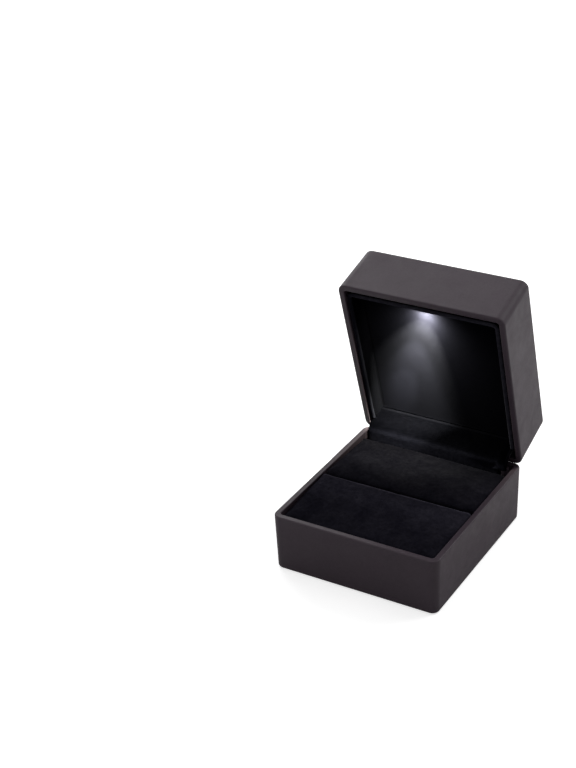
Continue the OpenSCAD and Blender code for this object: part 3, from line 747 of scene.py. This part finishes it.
def inflate(o, lo, hi, voxel=0.55, pressure=4.0, cap=0.4):
    """Cloth over foam: swells under pressure at twenty times its size, then is held inside lo..hi. voxel,
    cap, lo and hi are in mm at its own size."""
    big = 20.0
    src = o.data.copy()
    src.transform(Matrix.Scale(big, 4))
    tmp = bpy.data.objects.new("swelling", src)
    scene.collection.objects.link(tmp)
    mod = tmp.modifiers.new("remesh", "REMESH")
    mod.mode = "VOXEL"
    mod.voxel_size = voxel * MM * big
    apply_mods(tmp)
    start = np.array([v.co for v in tmp.data.vertices])
    cloth = tmp.modifiers.new("cloth", "CLOTH")
    s = cloth.settings
    s.use_pressure = True
    s.uniform_pressure_force = pressure
    s.quality = 6
    s.mass = 0.4
    s.tension_stiffness = s.compression_stiffness = 18
    s.shear_stiffness = 8
    s.bending_stiffness = 0.6
    s.effector_weights.gravity = 0
    cloth.point_cache.frame_start, cloth.point_cache.frame_end = 1, 20
    for f in range(1, 21):
        scene.frame_set(f)
    dg = bpy.context.evaluated_depsgraph_get()
    done = bpy.data.meshes.new_from_object(tmp.evaluated_get(dg))
    tmp.modifiers.clear()
    co = np.array([v.co for v in done.vertices])
    move = co - start
    length = np.linalg.norm(move, axis=1, keepdims=True)
    limit = cap * MM * big
    move *= np.minimum(1, limit / np.maximum(length, 1e-9))
    co = (start + move) / big
    lo, hi = np.array(lo) * MM, np.array(hi) * MM
    co = np.clip(co, lo, hi)
    done.vertices.foreach_set("co", co.astype(np.float32).ravel())
    done.update()
    o.data = done
    done.materials.clear()
    done.materials.append(CUSHION_VELVET)
    bpy.data.objects.remove(tmp)
    scene.frame_set(1)


def soften(o, divide=True):
    """Smooth shading, over one subdivision"""
    for p in o.data.polygons:
        p.use_smooth = True
    if divide:
        mod = o.modifiers.new("sub", "SUBSURF")
        mod.levels = mod.render_levels = 1
        apply_mods(o)


CUSHIONS = {
    "front": (CUSHION_FRONT - CUSHION_REACH, SLIT_Y - SLIT_W / 2 + SLIT_LIP, -1),
    "rear": (SLIT_Y + SLIT_W / 2 - SLIT_LIP, CUSHION_BACK, 1),
}
for key, (y0, y1, low) in CUSHIONS.items():
    o = cushion_mesh(f"cushion_{key}", y0, y1, low)
    inflate(o, (-CUSHION_X - 0.25, y0, BOARD_Z), (CUSHION_X + 0.25, y1, BASE_H + 0.45))
    soften(o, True)
    if key == "front":
        # painted highlight: paler velvet along the front cushion's edge at the ring slit
        trim(o, SLIT_HIGHLIGHT_VELVET, lambda x, y, z: y > y1 - 1.5 and z > BASE_H - 1.6)
    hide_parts(f"velvet_{key}", f"foam_{key}")
    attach(o, "base")


# ---------------------------------------------------------------- velvet strip over the hinge
COVER_TOP = PANEL_Z - PIN_Z - 0.25


def cover_path():
    """Course of the strip about the pin, in mm: its points, the way each faces and how far along it is"""
    n_top, n_arc, n_down = 26, 20, 15
    cos_open, sin_open = cos(radians(OPEN)), sin(radians(OPEN))
    points, facing = [], []
    for k in range(n_top):
        h = lerp(COVER_TOP, 0, k / n_top)
        points.append((-COVER_R * cos_open + h * sin_open, COVER_R * sin_open + h * cos_open))
        facing.append((-cos_open, sin_open))
    for k in range(n_arc + 1):
        a = radians(lerp(OPEN, 0, k / n_arc))
        points.append((-COVER_R * cos(a), COVER_R * sin(a)))
        facing.append((-cos(a), sin(a)))
    low = PIN_Z - FLOOR_T - 0.05
    for k in range(1, n_down):
        points.append((-COVER_R, -low * (k / (n_down - 1)) ** 1.5))
        facing.append((-1, 0))
    run = [0.0]
    for a, b in zip(points, points[1:]):
        run.append(run[-1] + math.dist(a, b))
    return points, facing, run


def make_cover():
    """Strip of velvet from the liner's panel, round the hinge and down behind the rear cushion, and its
    length in mm. A point of it is at x, and d along the strip."""
    points, facing, run = cover_path()
    columns, rows = 70, len(points)
    half = COVER_T / 2 - 0.05
    bulge_at = COVER_TOP + radians(OPEN) * COVER_R * 0.75
    verts, faces = [], []
    for side in (1, -1):
        for i in range(columns + 1):
            u = i / columns
            hem = 1.3 + 0.35 * (1 - u)
            for (y, z), (ny, nz), d in zip(points, facing, run):
                wide = min(max((z + 1.4) / 0.5, 0), 1)
                right = COVER_RIGHT + COVER_FLARE * wide
                x = lerp(COVER_LEFT, right, u)
                wave = 0.12 * noise.noise(Vector((x * 0.11, d * 0.16, 4.0))) * min(d / 3, 1)
                puff = 0.55 * math.exp(-((d - bulge_at) / 1.5) ** 2) * math.exp(-((x - 18) / 5.5) ** 2)
                ridge = 0.24 * math.exp(-((d - 0.4) / 0.35) ** 2) - 0.16 * math.exp(-((d - hem) / 0.25) ** 2)
                selvedge = 0.22 * math.exp(-((right - 0.7 - x) / 0.7) ** 2) * min(d / 2, 1)
                over = COVER_STEP * wide * min(max((x - COVER_RIGHT + 1.0) / 1.5, 0), 1)
                thick = half * (1 if 0 < i < columns else 0.35)
                off = side * thick + wave + puff + selvedge + over + (ridge if side > 0 else 0)
                verts.append((x, PIN_Y + y + ny * off, PIN_Z + z + nz * off))
    size = (columns + 1) * rows

    def corner(side, i, j):
        return side * size + i * rows + j

    for side in (0, 1):
        for i in range(columns):
            for j in range(rows - 1):
                faces.append((corner(side, i, j), corner(side, i + 1, j), corner(side, i + 1, j + 1),
                              corner(side, i, j + 1)))
    for j in range(rows - 1):
        for i in (0, columns):
            faces.append((corner(0, i, j), corner(0, i, j + 1), corner(1, i, j + 1), corner(1, i, j)))
    for i in range(columns):
        for j in (0, rows - 1):
            faces.append((corner(0, i, j), corner(0, i + 1, j), corner(1, i + 1, j), corner(1, i, j)))
    o = make_object("hinge_cover_strip", verts, faces, STRIP_VELVET)
    soften(o)
    # painted shade: its hem takes the liner walls' darker velvet, and its end over the switch post the
    # liner's velvet, without the strip's painted light
    shut, hem_z = OPENED.inverted(), PANEL_Z - 1.15
    trim(o, WALL_PAINTED_SHADE, lambda x, y, z: (shut @ Vector((x * MM, y * MM, z * MM))).z > hem_z * MM)
    trim(o, LINER_VELVET, lambda x, y, z: x > COVER_RIGHT + 2.7 and z > PIN_Z)
    return o, run[-1]


cover, cover_len = make_cover()
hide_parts("hinge_cover")
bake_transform(cover)


# ---------------------------------------------------------------- light in the lid
def make_glow(name, at, yaw, tilt, cone, squeeze, watts, col):
    """One lobe of the light-emitting diode: a cone from a point in the lid (mm), turned yaw to the left
    and tilted up to the panel, both in degrees, and squeezed sideways"""
    lamp = bpy.data.lights.new(name, "SPOT")
    lamp.spot_size = radians(cone)
    lamp.spot_blend = 1
    lamp.shadow_soft_size = LED_SIZE * MM
    lamp.energy = watts
    lamp.color = col
    o = bpy.data.objects.new(name, lamp)
    scene.collection.objects.link(o)
    yaw, tilt = radians(yaw), radians(tilt)
    aim = Vector((-sin(yaw) * cos(tilt), cos(yaw) * cos(tilt), sin(tilt)))
    side = Vector((cos(yaw), sin(yaw), 0))
    up = side.cross(aim)
    m = Matrix((
        (side.x * squeeze, up.x, -aim.x, at[0] * MM),
        (side.y * squeeze, up.y, -aim.y, at[1] * MM),
        (side.z * squeeze, up.z, -aim.z, at[2] * MM),
        (0, 0, 0, 1)))
    o.matrix_world = OPENED @ m
    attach(o, "lid")


# name, place, yaw, tilt, cone, squeeze, watts, colour
make_glow("led_core", (-0.1, -27.2, PANEL_Z - 4.0), 17.1, 9.0, 30, 1.86, 6.1, (0.93, 1.0, 0.70))
make_glow("led_beam", (-4.6, -22.0, PANEL_Z - 4.8), 11.2, 5.3, 30, 1.5, 4.05, (0.93, 1.0, 0.78))
make_glow("led_spread", (-2.0, -22.0, PANEL_Z - 4.8), 6.4, 47.2, 176, 0.45, 0.70, (0.94, 1.0, 0.78))
make_glow("led_far", (-2.0, -22.0, PANEL_Z - 4.8), 20.0, 6.9, 5.0, 4.0, 4.75, (0.93, 1.0, 0.82))


# ---------------------------------------------------------------- studio
def area(name, at, size, energy):
    """Square soft box that looks at the middle of the part"""
    lamp = bpy.data.lights.new(name, "AREA")
    lamp.shape = "SQUARE"
    lamp.size = size
    lamp.energy = energy
    o = bpy.data.objects.new(name, lamp)
    scene.collection.objects.link(o)
    o.location = at
    o.rotation_euler = (Vector((0, 0.01, 0.03)) - Vector(at)).to_track_quat("-Z", "Y").to_euler()


# name, place in metres, size, watts
LAMPS = [
    ("back_right", (0.55, 0.75, 0.75), 0.6, 5.5),
    ("top", (-0.10, 0.10, 0.95), 0.8, 2.4),
    ("front_left", (-0.75, -0.75, 0.50), 0.6, 2.2),
    ("right", (0.95, -0.20, 0.35), 0.5, 0.3),
    ("back_left", (-0.70, 0.65, 0.60), 0.6, 3.8),
]
for lamp_args in LAMPS:
    area(*lamp_args)


def make_world():
    """Dim light all round, seen as white by the camera and in gloss and glass"""
    w = bpy.data.worlds.new("studio")
    scene.world = w
    w.use_nodes = True
    nt = w.node_tree
    nt.nodes.clear()
    out = nt.nodes.new("ShaderNodeOutputWorld")
    lit = add(nt, "ShaderNodeBackground", Strength=0.10, Color=(1, 1, 1, 1))
    seen = add(nt, "ShaderNodeBackground", Strength=1.0, Color=(1, 1, 1, 1))
    mix = nt.nodes.new("ShaderNodeMixShader")
    nt.links.new(see_rays(nt), mix.inputs["Fac"])
    nt.links.new(lit.outputs[0], mix.inputs[1])
    nt.links.new(seen.outputs[0], mix.inputs[2])
    nt.links.new(mix.outputs[0], out.inputs["Surface"])


def see_rays(nt):
    """1 for camera, glossy and transmission rays, and 0 for the rest"""
    path = nt.nodes.new("ShaderNodeLightPath")
    a = add(nt, "ShaderNodeMath", operation="MAXIMUM")
    b = add(nt, "ShaderNodeMath", operation="MAXIMUM")
    nt.links.new(path.outputs["Is Camera Ray"], a.inputs[0])
    nt.links.new(path.outputs["Is Glossy Ray"], a.inputs[1])
    nt.links.new(a.outputs[0], b.inputs[0])
    nt.links.new(path.outputs["Is Transmission Ray"], b.inputs[1])
    return b.outputs[0]


def make_floor():
    """Pale floor that shows white and keeps the object's shadow. Gloss sees it with a painted shadow, darker
    close to the object.
    """
    me = bpy.data.meshes.new("floor")
    n, r = 64, 4.0
    me.from_pydata([(r * cos(2 * math.pi * k / n), r * sin(2 * math.pi * k / n), -0.05 * MM)
                    for k in range(n)], [], [tuple(range(n))])
    o = bpy.data.objects.new("floor", me)
    scene.collection.objects.link(o)
    m = bpy.data.materials.new("floor_paper")
    m.use_nodes = True
    nt = m.node_tree
    nt.nodes.clear()
    out = nt.nodes.new("ShaderNodeOutputMaterial")
    dif = nt.nodes.new("ShaderNodeBsdfDiffuse")
    n1 = noise_tex(nt, 30, 3, 0.5)
    nt.links.new(ramp(nt, n1, [(0.3, (0.80, 0.80, 0.80)), (0.7, (0.82, 0.82, 0.82))]), dif.inputs["Color"])
    em = add(nt, "ShaderNodeEmission", Color=(1, 1, 1, 1))
    away = add(nt, "ShaderNodeVectorMath", operation="LENGTH")
    nt.links.new(coords(nt), away.inputs[0])
    # painted shadow: the floor's glow as seen in gloss is dimmer close to the object
    gloss_painted_shadow = spread(nt, away.outputs["Value"], 0.10, 0.62, 0.035, 0.14)
    to_camera = spread(nt, away.outputs["Value"], 0.68, 1.0, 0.12, 0.5)
    path = nt.nodes.new("ShaderNodeLightPath")
    level = nt.nodes.new("ShaderNodeMix")
    nt.links.new(path.outputs["Is Camera Ray"], level.inputs["Factor"])
    nt.links.new(gloss_painted_shadow, level.inputs["A"])
    nt.links.new(to_camera, level.inputs["B"])
    nt.links.new(level.outputs["Result"], em.inputs["Strength"])
    both = nt.nodes.new("ShaderNodeAddShader")
    mix = nt.nodes.new("ShaderNodeMixShader")
    nt.links.new(dif.outputs[0], both.inputs[0])
    nt.links.new(em.outputs[0], both.inputs[1])
    nt.links.new(see_rays(nt), mix.inputs["Fac"])
    nt.links.new(dif.outputs[0], mix.inputs[1])
    nt.links.new(both.outputs[0], mix.inputs[2])
    nt.links.new(mix.outputs[0], out.inputs["Surface"])
    me.materials.append(m)


make_world()
make_floor()
scene.view_settings.view_transform = "Standard"
